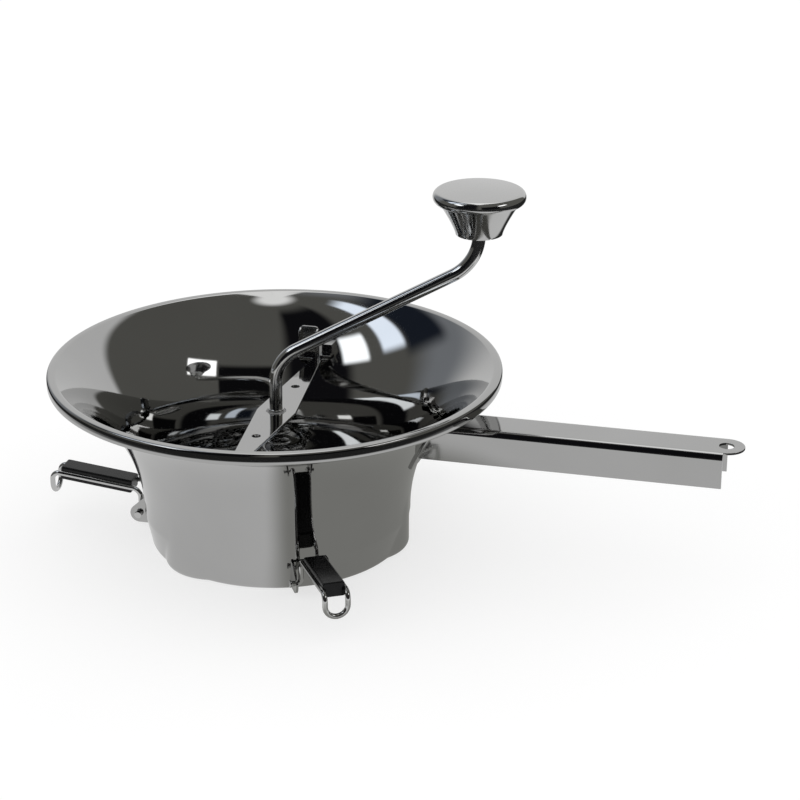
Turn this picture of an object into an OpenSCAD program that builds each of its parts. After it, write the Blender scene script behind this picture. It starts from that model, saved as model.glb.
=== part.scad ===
// Rotary food mill: a flared sheet-steel bowl with a perforated disc in its
// drum, a spring-loaded cranked blade held by a bridge bar, a channel handle
// and three wire feet that fold about clevises on the drum.
// The frame is +Z up and +X along the handle. The origin is where the bowl's
// axis meets the surface it stands on.

/* [Bowl] */
// Outside diameter over the rolled rim
rim_d = 240; // [216:1:290]
// Height from the standing surface to the top of the rim
bowl_h = 99; // [92:1:120]
// Outside diameter of the drum where the flare starts
drum_d = 143; // [128:1:152]
// Height at which the flare starts
drum_h = 18; // [16:0.5:24]
// Sheet thickness of the bowl
wall = 1; // [0.8:0.1:1.4]
// Radius of the rolled rim
bead_r = 3.3; // [2.6:0.1:4.2]
// How far the drum draws in at its base
base_inset = 3; // [2:0.25:4]
// Outside radius of the drum's bottom corner
corner_r = 4; // [3:0.25:5]
// Width of the ledge that carries the disc
ledge_w = 7.5; // [6.5:0.25:10]
// Radius of the lobes pressed out of the drum
lobe_r = 26; // [22:1:32]

/* [Disc] */
// Thickness of the sieve disc
disc_t = 0.9; // [0.7:0.1:1.3]
// Diameter of the sieve holes
hole_d = 3; // [2:0.25:3.5]
// Spacing between the rings of holes
hole_pitch = 7.5; // [6.5:0.25:9]
// Width of the ears that stop the disc turning
ear_w = 16; // [10:1:20]
// Height of the centre bush above the disc's underside
disc_bush_h = 6; // [5:0.5:8]

/* [Bridge bar] */
// Height of the bar's top face
bar_z = 72.6; // [66:0.2:80]
// Thickness of the bar
bar_t = 1.8; // [1.5:0.1:2.5]
// Width of the bar at its middle
bar_w = 21.4; // [18:0.2:26]
// Width of the bar at its ends
bar_end_w = 5; // [4:0.25:7]
// Gap from the bar's ends to the bowl wall
bar_end_gap = 1.6; // [1:0.1:3]
// Distance from the axis to each rinse hole
bar_hole_x = 35.6; // [28:0.2:44]
// Diameter of the rinse holes
bar_hole_d = 4.5; // [3:0.25:6]
// Height of the upturned finger tab above the bar
tab_h = 17; // [12:0.5:20]
// Height of the tab at the bar's other end
low_tab_h = 10; // [8:0.5:14]
// Width of the finger tabs
tab_w = 11; // [9:0.5:13]

/* [Crank] */
// Diameter of the crank rod
rod_d = 7; // [6:0.25:8]
// Diameter of the turned ends of the rod
spigot_d = 5.6; // [4.5:0.1:5.8]
// Height at which the rod leaves the axis
arm_z = 89; // [86:0.5:96]
// Distance from the bowl's axis to the knob's axis
crank_reach = 107; // [95:1:125]
// Angle of the arm from upright
arm_tilt = 64; // [55:1:70]
// Centreline radius of the lower bend
low_bend = 20; // [14:1:24]
// Centreline radius of the upper bend
high_bend = 24; // [14:1:28]
// Angle of the arm round from the handle
crank_turn = 17; // [0:1:45]

/* [Blade] */
// Gap between the blade's edge and the drum
blade_gap = 4.5; // [3.5:0.25:8]
// Height of the blade's leading edges above its trailing edges
blade_rise = 21; // [16:0.5:24]
// Sheet thickness of the blade
blade_t = 1.2; // [1:0.1:1.6]
// Angle covered by each wing
wing_sweep = 150; // [120:5:165]
// Outside diameter of the hub
hub_d = 13; // [12:0.5:16]
// Height of the hub
hub_h = 19; // [16:0.5:21]

/* [Spring] */
// Wire diameter of the spring
coil_wire = 1.4; // [1:0.1:1.8]
// Number of turns
coil_turns = 8; // [6:1:10]

/* [Knob] */
// Diameter over the knob's rolled top edge
knob_d = 48.6; // [42:0.2:56]
// Diameter of the knob's neck
neck_d = 24.6; // [22:0.2:28]
// Height of the knob
knob_h = 24.5; // [21:0.5:28]
// Sheet thickness of the knob
knob_t = 0.8; // [0.6:0.1:1]

/* [Handle] */
// Distance from the bowl's axis to the handle's hanging hole
handle_reach = 239.5; // [210:0.5:285]
// Height of the handle's top face
handle_z = 77.5; // [72:0.5:80]
// Width of the handle
handle_w = 24; // [21:0.5:30]
// Depth of the handle's sides
handle_h = 19; // [15:0.5:22]
// Sheet thickness of the handle
handle_t = 1.2; // [1:0.1:1.6]
// Outside radius of the handle's folds
fold_r = 3.5; // [2.5:0.25:5]
// Diameter of the hanging hole
hang_d = 7.8; // [5.5:0.1:9.5]

/* [Feet] */
// Wire diameter of the feet
foot_wire_d = 2.8; // [2.4:0.1:3.4]
// Distance between the two legs of a foot, centre to centre
foot_gauge = 11.7; // [10:0.1:14]
// Height of the pivots above the standing surface
pivot_z = 8; // [7.5:0.25:10]
// Distance of the pivots from the drum's side
pivot_out = 5; // [4.5:0.25:7]
// Reach of a foot from its pivot to its tip
foot_reach = 51; // [42:1:60]
// Height from the pivot to where the leg turns outward
leg_h = 13; // [12:0.5:16]
// Angle at which the arms rise outward
arm_rise = 6; // [0:1:8]
// Length of the grip blocks
grip_l = 41; // [32:1:41]
// Height of the grip blocks
grip_h = 7.6; // [6:0.2:9]
// Thickness of the clevis sheet
clevis_t = 1.2; // [1:0.1:1.6]

/* [Fits] */
// Radial clearance of everything that turns or slides
run_fit = 0.05; // [0.03:0.01:0.08]
// How deep a welded piece bites into its neighbour
weld = 0.2; // [0.1:0.05:0.3]

/* [Hidden] */
$fn = 96;
eps = 0.01;
// Small step between faces that would otherwise lie in one another
skin = 0.03;

// Bowl section: a cone, a flare arc and the rim's roll, each tangent to the next
drum_r = drum_d / 2;
base_r = drum_r - base_inset;
bead_x = rim_d / 2 - bead_r;
bead_z = bowl_h - bead_r;
run_x = drum_r - bead_x;
run_z = bead_z - drum_h;
tuck = wall - bead_r;
flare_r = (run_x * run_x + run_z * run_z - tuck * tuck) / (2 * (tuck - run_x));
flare_x = drum_r + flare_r;
flare_end = atan2(bead_z - drum_h, flare_x - bead_x);
bead_open = 60;
corner_x = base_r - corner_r;
outlet_r = base_r - ledge_w;
lobe_count = 3;
lobe_reach = drum_r - 0.3 - lobe_r;
lobe_h = drum_h - 0.6;
arc_steps = 24;

// Radius of the flare's outside face, offset outward by d, at height z
function flare_at(z, d = 0) =
    flare_x - sqrt(pow(flare_r - d, 2) - pow(z - drum_h, 2));

// Disc
disc_z = wall + 0.1;
disc_r = corner_x - 0.5;
ear_reach = lobe_reach + lobe_r - corner_r - 1.2;
disc_bush_r = 6;
disc_bore_r = spigot_d / 2 + run_fit;
first_ring = 2;
ring_count = floor((outlet_r - hole_d) / hole_pitch) - first_ring + 1;

// Crank, from the bottom up
rod_r = rod_d / 2;
spigot_r = spigot_d / 2;
spigot_end = 0.6;
hub_z = disc_z + disc_bush_h + 1;
hub_top = hub_z + hub_h;
pin_d = 2.5;
pin_z = hub_z + hub_h * 0.75;
arm_run = (crank_reach - (low_bend + high_bend) * (1 - cos(arm_tilt))) / sin(arm_tilt);
upright_z = arm_z + (low_bend + high_bend) * sin(arm_tilt) + arm_run * cos(arm_tilt);
ring_r = rod_r + 0.7;
ring_h = 1.3;

// Blade
blade_r = base_r - wall - blade_gap;
blade_z = disc_z + disc_t + 0.6;
wing_steps = 20;

// Spring and its seats
washer_t = 1;
washer_r = 8;
seat_z = hub_top + washer_t;
bush_flange_t = 1.4;
bush_r = 5.2;
coil_r = washer_r - 0.4 - coil_wire / 2;
coil_top = bar_z - bar_t - bush_flange_t;
coil_sides = 8;
coil_steps = 16;

// Bridge bar
bar_half = flare_at(bar_z - bar_t, -wall) - bar_end_gap;
tab_t = 1.2;
tab_lip = 3;
tab_shift = tab_w / 2 + 0.5;
head_l = 6;
tongue_w = 5.5;
lug_t = 1.6;
lug_w = 6;
lug_gap = 0.1;
lug_over = 5;

// Knob
// Radius of the knob's side at a share t of its height
function bell_at(t) = neck_d / 2 + bell_out * pow(t, bell_bow);
knob_z = upright_z + 1.3;
knob_top = knob_z + knob_h;
cap_r = knob_d / 2;
cap_curl = 3.4;
cap_dome = 1.1;
bell_out = cap_r - cap_curl - neck_d / 2;
cap_z = knob_top - cap_dome - cap_curl;
bell_h = cap_z - cap_curl + 0.2 - knob_z;
bell_bow = 1.25;
shoulder_z = knob_z + 2;
retainer_t = 1;
sleeve_h = knob_h - 9;
sleeve_r = bell_at((shoulder_z - knob_z) / bell_h) - 1.1 * knob_t + weld;
retainer_z = shoulder_z + sleeve_h + 0.1;

// Handle
saddle_t = 1.2;
saddle_side = 7;
saddle_low = handle_z - handle_h - 5;
saddle_span = 2 * atan((handle_w / 2 + saddle_side) / flare_at(handle_z));
handle_end = handle_reach - 0.5;
tongue_r = handle_w / 2 - fold_r + 1;

// Feet
foot_wire_r = foot_wire_d / 2;
foot_half = foot_gauge / 2;
foot_turns = [180, 60, -60];
pivot_r = drum_r + pivot_out;
hook_bend = 2.5;
knee_bend = 5;
toe_bend = 4;
toe_drop = 2.5;
ear_in = foot_half + hook_bend + 0.1;
ear_out = ear_in + clevis_t;
ear_r = 5;
ear_h = 10;
stub_end = ear_out + 2.6;
head_h = 1.2;
head_r = foot_wire_r + 0.6;
stub_run = stub_end - head_h / 2 - foot_half - hook_bend;
knee_turn = 90 - arm_rise;
toe_turn = 90 + arm_rise;
leg_run = leg_h - hook_bend - knee_bend * sin(knee_turn);
arm_len = (foot_reach - knee_bend * (1 - cos(knee_turn)) - toe_bend * cos(arm_rise)
    - toe_bend * sin(arm_rise)) / cos(arm_rise);
grip_w = foot_gauge - 0.2;
grip_gap = 1;
grip_fit = 0.02;

// ---- shapes used by more than one piece ----

// Points of the bowl's section, offset by d from its outside face into the sheet.
function corner_arc(d) = [for (i = [0 : 6])
    let (a = -90 + 90 * i / 6) [corner_x + (corner_r - d) * cos(a), corner_r + (corner_r - d) * sin(a)]];
function flare_arc(d) = [for (i = [0 : arc_steps])
    let (a = flare_end * i / arc_steps)
    [flare_x - (flare_r + d) * cos(a), drum_h + (flare_r + d) * sin(a)]];
function bead_arc(d) = [for (i = [1 : arc_steps])
    let (a = 180 - flare_end - (360 - bead_open) * i / arc_steps)
    [bead_x + (bead_r - wall + d) * cos(a), bead_z + (bead_r - wall + d) * sin(a)]];
function reversed(list) = [for (i = [len(list) - 1 : -1 : 0]) list[i]];
function side(d) = concat([[outlet_r, d]], corner_arc(d), flare_arc(d));

// The bowl as a filled solid, its skin moved in by d
module filled_bowl(d = 0) {
    rotate_extrude()
        polygon(concat([[0, d]], corner_arc(d), flare_arc(d), [[0, flare_arc(d)[arc_steps][1]]]));
}

// A band lying on the bowl's outside, from low to high and span degrees wide
module wall_patch(low, high, span, thick) {
    intersection() {
        rotate([0, 0, -span / 2])
            rotate_extrude(angle = span)
                translate([base_r - 20, low])
                    square([rim_d / 2, high - low]);
        difference() {
            filled_bowl(-thick);
            filled_bowl(weld);
        }
    }
}

// A lobe of the drum as a filled solid, its skin moved in by d
module lobe(d = 0) {
    corner = [for (i = [0 : 5]) let (a = -90 + 90 * i / 5)
        [lobe_r - corner_r + (corner_r - d) * cos(a), corner_r + (corner_r - d) * sin(a)]];
    translate([lobe_reach, 0, skin])
        rotate_extrude()
            polygon(concat([[0, d]], corner, [[lobe_r - d, lobe_h + d], [0, lobe_h + d]]));
}

// A round wire of radius r laid by steps of [straight, bend angle, bend radius, roll].
// The straights run a little way into the bends, which are a hair thicker.
module wire(steps, r, k = 0) {
    if (k < len(steps)) {
        run = steps[k][0];
        turn = steps[k][1];
        bend = steps[k][2];
        start = k > 0 ? 2 * skin : 0;
        translate([0, 0, -start])
            cylinder(r = r, h = run + start + (turn > 0 ? 2 * skin : 0), $fn = 48);
        translate([0, 0, run]) rotate([0, 0, steps[k][3]]) {
            if (turn > 0)
                translate([bend, 0, 0])
                    rotate([90, 0, 180])
                        rotate_extrude(angle = turn)
                            translate([bend, 0])
                                circle(r = r + skin, $fn = 48);
            translate([bend * (1 - cos(turn)), 0, bend * sin(turn)])
                rotate([0, turn, 0])
                    wire(steps, r, k + 1);
        }
    }
}

module tube(outer, inner, h) {
    difference() {
        cylinder(r = outer, h = h);
        translate([0, 0, -eps]) cylinder(r = inner, h = h + 2 * eps);
    }
}

// ---- bowl and disc ----

module bowl() {
    color("silver") difference() {
        union() {
            rotate_extrude()
                polygon(concat(side(0), bead_arc(0), reversed(bead_arc(wall)), reversed(side(wall))));
            for (k = [0 : lobe_count - 1]) rotate([0, 0, 360 / lobe_count * k]) lobe();
        }
        for (k = [0 : lobe_count - 1]) rotate([0, 0, 360 / lobe_count * k]) lobe(wall);
        rotate_extrude()
            polygon(concat([[0, wall + 2 * skin]], corner_arc(wall + 2 * skin),
                [[drum_r - wall - 2 * skin, drum_h], [0, drum_h]]));
        translate([0, 0, -1]) cylinder(r = outlet_r + skin, h = wall + 2);
    }
}

module sieve_disc() {
    color("gainsboro") translate([0, 0, disc_z]) difference() {
        union() {
            cylinder(r = disc_r, h = disc_t);
            for (k = [0 : lobe_count - 1]) rotate([0, 0, 360 / lobe_count * k])
                translate([0, -ear_w / 2, 0]) cube([ear_reach, ear_w, disc_t]);
        }
        translate([0, 0, -1]) cylinder(r = disc_bush_r, h = disc_t + 2);
        for (ring = [first_ring : first_ring + ring_count - 1], k = [0 : 6 * ring - 1])
            rotate([0, 0, 60 * k / ring])
                translate([ring * hole_pitch, 0, -1])
                    cylinder(d = hole_d, h = disc_t + 2, $fn = 24);
    }
}

module disc_bush() {
    color("dimgray") translate([0, 0, disc_z])
        tube(disc_bush_r, disc_bore_r, disc_bush_h);
}

// ---- bridge bar ----

module bar_outline() {
    polygon([
        [-bar_end_w / 2, bar_half - head_l], [-bar_w / 2, 0], [-bar_end_w / 2, head_l - bar_half],
        [bar_end_w / 2, head_l - bar_half], [bar_w / 2, 0], [bar_end_w / 2, bar_half - head_l]
    ]);
}

// One end of the bar: a flat head, a tongue for the lug and an upturned tab
module bar_head(rise) {
    translate([-tab_shift - tab_w / 2, bar_half - head_l - eps, -bar_t])
        cube([tab_shift + tab_w / 2 + tongue_w, head_l + eps, bar_t]);
    translate([-tab_shift, bar_half - tab_t, -bar_t]) rotate([90, 0, 180]) linear_extrude(tab_t) {
        translate([-tab_w / 2, 0]) square([tab_w, bar_t + rise - 2]);
        translate([-tab_w / 2 + 2, 0]) square([tab_w - 4, bar_t + rise]);
        for (x = [-1, 1]) translate([x * (tab_w / 2 - 2), bar_t + rise - 2]) circle(r = 2, $fn = 32);
    }
    for (x = [-tab_shift - tab_w / 2, -tab_shift + tab_w / 2 - tab_t])
        translate([x, bar_half - tab_t - tab_lip, -eps]) cube([tab_t, tab_lip + eps, rise - 2.5]);
}

module bridge_bar() {
    color("silver") translate([0, 0, bar_z]) difference() {
        union() {
            translate([0, 0, -bar_t]) linear_extrude(bar_t) bar_outline();
            bar_head(tab_h);
            rotate([0, 0, 180]) bar_head(low_tab_h);
        }
        for (y = [-bar_hole_x, bar_hole_x])
            translate([0, y, -bar_t - 1]) cylinder(d = bar_hole_d, h = bar_t + 2, $fn = 48);
        translate([0, 0, -bar_t - 1]) cylinder(r = bush_r, h = bar_t + 2);
    }
}

module bar_bush() {
    color("dimgray") {
        translate([0, 0, coil_top]) tube(washer_r, rod_r + run_fit, bush_flange_t);
        translate([0, 0, coil_top + bush_flange_t - eps]) tube(bush_r, rod_r + run_fit, bar_t + eps);
    }
}

// The two hooks welded inside the bowl that the bar's tongues turn in under
module bar_lugs() {
    color("silver") for (a = [0, 180]) rotate([0, 0, a]) intersection() {
        translate([1, 0, 0]) {
            translate([0, bar_half - lug_over, bar_z + lug_gap]) cube([lug_w, 40, lug_t]);
            translate([0, bar_half - lug_t + 1.2, bar_z + lug_gap]) cube([lug_w, 40, lug_t + 5]);
        }
        filled_bowl(wall - weld);
    }
}

// ---- crank and blade ----

module crank_rod() {
    color("silver") difference() {
        union() {
            translate([0, 0, spigot_end]) cylinder(r = spigot_r, h = hub_z + 1 - spigot_end);
            rotate([0, 0, crank_turn]) translate([0, 0, hub_z])
                wire([
                    [arm_z - hub_z, arm_tilt, low_bend, 0],
                    [arm_run, arm_tilt, high_bend, 180],
                    [shoulder_z - upright_z, 0, 0, 0]
                ], rod_r);
            rotate([0, 0, crank_turn]) translate([crank_reach, 0, shoulder_z - 1])
                cylinder(r = spigot_r, h = retainer_z + retainer_t + 1.8 - shoulder_z);
        }
        translate([0, 0, pin_z]) rotate([0, 90, 0])
            cylinder(r = pin_d / 2, h = 3 * rod_d, center = true);
    }
}

module crank_ring() {
    color("silver") translate([0, 0, bar_z + lug_gap]) tube(ring_r, rod_r, ring_h);
}

module blade_hub() {
    color("silver") difference() {
        translate([0, 0, hub_z]) tube(hub_d / 2, rod_r, hub_h);
        translate([0, 0, pin_z]) rotate([0, 90, 0])
            cylinder(r = pin_d / 2, h = 2 * hub_d, center = true);
    }
}

module blade_pin() {
    color("gray") translate([0, 0, pin_z]) rotate([0, 90, 0])
        cylinder(r = pin_d / 2, h = hub_d + 1, center = true);
}

// A wing is a ramp of sheet that climbs from its trailing to its leading edge.
// At each step it has four corners: under inside, under outside, top outside, top inside.
function ramp(u) = blade_rise * pow(u, 1.4);
function wing_ring(u) =
    let (a = wing_sweep * u, c = cos(a), s = sin(a), low = blade_z + ramp(u),
        near = max(low, hub_z + 1), inner = hub_d / 2 - weld)
    [[inner * c, inner * s, near], [blade_r * c, blade_r * s, low],
     [blade_r * c, blade_r * s, low + blade_t], [inner * c, inner * s, near + blade_t]];

module wing() {
    points = [for (i = [0 : wing_steps]) each wing_ring(i / wing_steps)];
    last = 4 * wing_steps;
    sides = [for (i = [0 : wing_steps - 1], k = [0 : 3], half = [0, 1])
        let (a = 4 * i + k, b = 4 * i + (k + 1) % 4)
        half == 0 ? [a, a + 4, b] : [b, a + 4, b + 4]];
    polyhedron(concat(points), concat([[0, 1, 2], [0, 2, 3]], sides,
        [[last + 2, last + 1, last], [last + 3, last + 2, last]]));
}

module blade_wings() {
    color("silver") for (a = [0, 180]) rotate([0, 0, a + crank_turn]) wing();
}

module thrust_washer() {
    color("gray") translate([0, 0, hub_top])
        tube(washer_r, rod_r + run_fit, washer_t);
}

// ---- spring ----

// Height of the coil's centreline along its length, flat for a turn at each end
function coil_z(u) =
    let (turn = u * coil_turns, wide = coil_top - seat_z - 3 * coil_wire,
        mid = min(max((turn - 1) / (coil_turns - 2), 0), 1))
    seat_z + coil_wire / 2 + coil_wire * (min(turn, 1) + max(turn - coil_turns + 1, 0)) + wide * mid;

module spring() {
    rings = coil_turns * coil_steps;
    points = [for (i = [0 : rings], k = [0 : coil_sides - 1])
        let (a = 360 * i / coil_steps, b = 360 * k / coil_sides, x = coil_r + coil_wire / 2 * cos(b) * 0.98)
        [x * cos(a), x * sin(a), coil_z(i / rings) + coil_wire / 2 * sin(b) * 0.98]];
    sides = [for (i = [0 : rings - 1], k = [0 : coil_sides - 1])
        let (a = i * coil_sides + k, b = i * coil_sides + (k + 1) % coil_sides)
        [a, b, b + coil_sides, a + coil_sides]];
    color("gray") polyhedron(points, concat([[for (k = [coil_sides - 1 : -1 : 0]) k]], sides,
        [[for (k = [0 : coil_sides - 1]) rings * coil_sides + k]]));
}

// ---- knob ----

// The knob's side sweeps out from the neck, here moved in by d
function knob_side(d) = [for (i = [0 : 12])
    let (t = i / 12, lean = bell_out / bell_h * bell_bow * pow(t, bell_bow - 1), long = sqrt(1 + lean * lean))
    [bell_at(t) - d / long, knob_z + bell_h * t + d * lean / long]];

module on_knob() {
    rotate([0, 0, crank_turn]) translate([crank_reach, 0, 0]) children();
}

module knob_shell() {
    color("silver") on_knob() rotate_extrude()
        polygon(concat(knob_side(0), reversed(knob_side(knob_t))));
}

module knob_cap() {
    dome = (pow(cap_r - cap_curl, 2) + cap_dome * cap_dome) / (2 * cap_dome);
    color("silver") on_knob() rotate_extrude() union() {
        intersection() {
            difference() {
                translate([0, knob_top - dome]) circle(r = dome, $fn = 360);
                translate([0, knob_top - dome]) circle(r = dome - knob_t, $fn = 360);
            }
            translate([0, cap_z]) square([cap_r - cap_curl, knob_h]);
        }
        translate([cap_r - cap_curl, cap_z]) difference() {
            circle(r = cap_curl, $fn = 48);
            circle(r = cap_curl - knob_t, $fn = 48);
            polygon(cap_curl * [[0, 0], [-0.2, 1.1], [-2, 1.1], [-2, -1.1], [-0.75, -1.1]]);
        }
    }
}

module knob_sleeve() {
    color("white") on_knob() translate([0, 0, shoulder_z])
        tube(sleeve_r, spigot_r + run_fit, sleeve_h);
}

module knob_retainer() {
    color("gray") on_knob() translate([0, 0, retainer_z])
        tube(washer_r - 1, spigot_r, retainer_t);
}

// ---- handle ----

module handle_outline() {
    translate([0, -tongue_r]) square([handle_reach, 2 * tongue_r]);
    translate([handle_reach, 0]) circle(r = tongue_r);
}

// Section of the channel, looking along the handle
module channel() {
    intersection() {
        difference() {
            union() {
                translate([-handle_w / 2, -handle_h]) square([handle_w, handle_h - fold_r]);
                translate([-handle_w / 2 + fold_r, -fold_r - eps]) square([handle_w - 2 * fold_r, fold_r + eps]);
                for (s = [-1, 1]) translate([s * (handle_w / 2 - fold_r), -fold_r]) circle(r = fold_r, $fn = 48);
            }
            translate([-handle_w / 2 + handle_t, -handle_h - 1])
                square([handle_w - 2 * handle_t, handle_h + 1 - fold_r]);
            translate([-handle_w / 2 + fold_r, -fold_r - 2 * eps])
                square([handle_w - 2 * fold_r, fold_r - handle_t + 2 * eps]);
            for (s = [-1, 1])
                translate([s * (handle_w / 2 - fold_r), -fold_r]) circle(r = fold_r - handle_t, $fn = 48);
        }
        translate([-handle_w, -2 * handle_h]) square([2 * handle_w, 2 * handle_h]);
    }
}

module handle() {
    color("silver") difference() {
        union() {
            translate([0, 0, handle_z]) rotate([90, 0, 90]) linear_extrude(handle_end) channel();
            translate([0, 0, handle_z - handle_t]) intersection() {
                linear_extrude(handle_t) handle_outline();
                translate([handle_end - fold_r, -handle_w, -1]) cube([3 * handle_w, 2 * handle_w, handle_t + 2]);
            }
        }
        filled_bowl(weld);
        translate([handle_reach, 0, handle_z - handle_t - 1]) cylinder(d = hang_d, h = handle_t + 2);
    }
}

module handle_saddle() {
    color("silver") difference() {
        wall_patch(saddle_low, handle_z - handle_t, saddle_span, saddle_t);
        translate([0, -handle_w / 2 - run_fit, handle_z - handle_h - run_fit])
            cube([rim_d, handle_w + 2 * run_fit, handle_h]);
    }
}

// ---- feet ----

// Foot pieces are drawn at +X with the pivot along Y, then turned to their place
module at_foot(k) {
    rotate([0, 0, foot_turns[k]]) translate([pivot_r, 0, pivot_z]) children();
}

// The wire runs from one stub up the leg, out along the arm, round the toe and back
module foot_wire(k) {
    color("silver") at_foot(k) {
        for (s = [0, 180]) rotate([0, 0, s]) translate([0, stub_end - head_h, 0]) rotate([-90, 0, 0])
            cylinder(r = head_r, h = head_h, $fn = 48);
        translate([0, stub_end - head_h / 2, 0]) rotate([90, 0, 0])
            wire([
                [stub_run, 90, hook_bend, 90],
                [leg_run, knee_turn, knee_bend, -90],
                [arm_len, toe_turn, toe_bend, 0],
                [toe_drop, 180, foot_half, -90],
                [toe_drop, toe_turn, toe_bend, 90],
                [arm_len, knee_turn, knee_bend, 0],
                [leg_run, 90, hook_bend, 90],
                [stub_run, 0, 0, 0]
            ], foot_wire_r);
    }
}

// The grip's own frame: x runs out along the arm, from the end of the knee bend
module at_grip(k) {
    at_foot(k)
        translate([knee_bend * (1 - cos(knee_turn)), 0, hook_bend + leg_run + knee_bend * sin(knee_turn)])
            rotate([0, -arm_rise, 0])
                children();
}

module foot_grip(k) {
    color("#161616") at_grip(k) difference() {
        translate([grip_gap, -grip_w / 2, -grip_h / 2]) cube([grip_l, grip_w, grip_h]);
        for (s = [-1, 1]) translate([0, s * foot_half, 0]) rotate([0, 90, 0])
            cylinder(r = foot_wire_r + grip_fit, h = grip_l + 2 * grip_gap, $fn = 48);
    }
}

module clevis_ear() {
    rotate([90, 0, 0]) linear_extrude(clevis_t) {
        circle(r = ear_r);
        translate([-pivot_out - base_inset - 3, -ear_r])
            square([pivot_out + base_inset + 3, 2 * ear_r]);
        polygon([[-pivot_out - 3, ear_h], [-pivot_out + 1.5, ear_h], [ear_r * cos(40), ear_r * sin(40)],
            [-pivot_out - 3, 0]]);
    }
}

module foot_clevis(k) {
    color("silver") difference() {
        union() {
            rotate([0, 0, foot_turns[k]])
                wall_patch(pivot_z - ear_r, pivot_z + ear_h, 2 * atan(ear_out / drum_r), clevis_t);
            at_foot(k) for (y = [-ear_in, ear_out]) translate([0, y, 0]) clevis_ear();
        }
        filled_bowl(weld);
        at_foot(k) rotate([90, 0, 0])
            cylinder(r = foot_wire_r + run_fit, h = 3 * ear_out, center = true, $fn = 48);
    }
}

bowl();
sieve_disc();
disc_bush();
bridge_bar();
bar_bush();
bar_lugs();
crank_rod();
crank_ring();
blade_wings();
blade_hub();
blade_pin();
thrust_washer();
spring();
knob_shell();
knob_cap();
knob_sleeve();
knob_retainer();
handle();
handle_saddle();
foot_wire(0);  // foot_wire_1
foot_grip(0);  // foot_grip_1
foot_clevis(0);  // foot_clevis_1
foot_wire(1);  // foot_wire_2
foot_grip(1);  // foot_grip_2
foot_clevis(1);  // foot_clevis_2
foot_wire(2);  // foot_wire_3
foot_grip(2);  // foot_grip_3
foot_clevis(2);  // foot_clevis_3
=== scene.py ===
import math

import bmesh
import bpy
from mathutils import Matrix, Vector


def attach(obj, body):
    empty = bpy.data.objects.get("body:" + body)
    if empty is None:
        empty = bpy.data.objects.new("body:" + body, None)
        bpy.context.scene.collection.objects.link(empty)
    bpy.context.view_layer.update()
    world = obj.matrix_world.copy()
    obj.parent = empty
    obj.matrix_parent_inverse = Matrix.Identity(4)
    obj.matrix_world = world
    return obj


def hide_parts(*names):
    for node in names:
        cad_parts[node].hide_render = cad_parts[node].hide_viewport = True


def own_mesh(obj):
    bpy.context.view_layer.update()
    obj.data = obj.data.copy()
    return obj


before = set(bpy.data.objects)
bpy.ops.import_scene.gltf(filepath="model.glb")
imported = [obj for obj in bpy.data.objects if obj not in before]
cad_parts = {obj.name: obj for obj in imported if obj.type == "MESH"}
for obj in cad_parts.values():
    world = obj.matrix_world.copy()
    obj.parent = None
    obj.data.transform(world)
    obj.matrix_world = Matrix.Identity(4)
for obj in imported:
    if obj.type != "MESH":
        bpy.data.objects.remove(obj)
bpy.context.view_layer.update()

MM = 0.001

# ---- sizes of the food mill, in millimetres ----

RIM_R = 120.0
RIM_TOP = 99.0
BEAD_R = 3.3
BEAD_X = RIM_R - BEAD_R
BEAD_Z = RIM_TOP - BEAD_R
DRUM_R = 71.5
DRUM_H = 18.0
BASE_R = 68.5
CORNER_R = 4.0
LEDGE_IN = 61.0
SHEET = 1.0
LOBE_R = 26.0
LOBE_REACH = DRUM_R + 0.6 - LOBE_R
CRANK_TURN = math.radians(17)
CRANK_REACH = 107.0
ROD_R = 3.5
SPIGOT_R = 2.8
ARM_Z = 89.0
ARM_TILT = math.radians(64)
LOW_BEND = 20.0
HIGH_BEND = 24.0
BAR_Z = 72.6
BAR_T = 1.8
BAR_BUSH_R = 5.2
SEAT_R = 8.0
HANDLE_Z = 77.5
HANDLE_END = 239.0
HANG_X = 239.5
HANG_R = 3.9
TONGUE_R = 9.5
HANDLE_HALF = 12.0
HANDLE_DEEP = 19.0
HANDLE_T = 1.2
FOLD_R = 3.5
HUB_Z = 8.1
HUB_TOP = 27.1
SEAT_Z = 28.1
COIL_TOP = 69.4
PIVOT_R = 76.5
PIVOT_Z = 8.0
WIRE_R = 1.4
FOOT_TURNS = {1: 180, 2: 60, 3: -60}
FOOT_HALF = 5.85

# The flare is an arc tangent to the drum and to the rim's roll
FLARE_RUN = DRUM_R - BEAD_X
FLARE_RISE = BEAD_Z - DRUM_H
TUCK = SHEET - BEAD_R
FLARE_R = (FLARE_RUN ** 2 + FLARE_RISE ** 2 - TUCK ** 2) / (2 * (TUCK - FLARE_RUN))
FLARE_X = DRUM_R + FLARE_R
FLARE_END = math.atan2(FLARE_RISE, FLARE_X - BEAD_X)


def flare_at(z, inward=0.0):
    """Radius of the bowl at height z on the flare, moved in by a distance."""
    return FLARE_X - math.sqrt((FLARE_R + inward) ** 2 - (z - DRUM_H) ** 2)


# ---- materials ----

def new_material(name):
    m = bpy.data.materials.new(name)
    m.use_nodes = True
    return m, m.node_tree, m.node_tree.nodes["Principled BSDF"]


def feed(tree, socket, value):
    """Links a socket to another one, or sets it to a value."""
    if isinstance(value, bpy.types.NodeSocket):
        tree.links.new(value, socket)
    else:
        socket.default_value = value


def math_node(tree, kind, *values):
    """The result of a Math node, fed with numbers or sockets."""
    node = tree.nodes.new("ShaderNodeMath")
    node.operation = kind
    for socket, value in zip(node.inputs, values):
        feed(tree, socket, value)
    return node.outputs[0]


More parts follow.
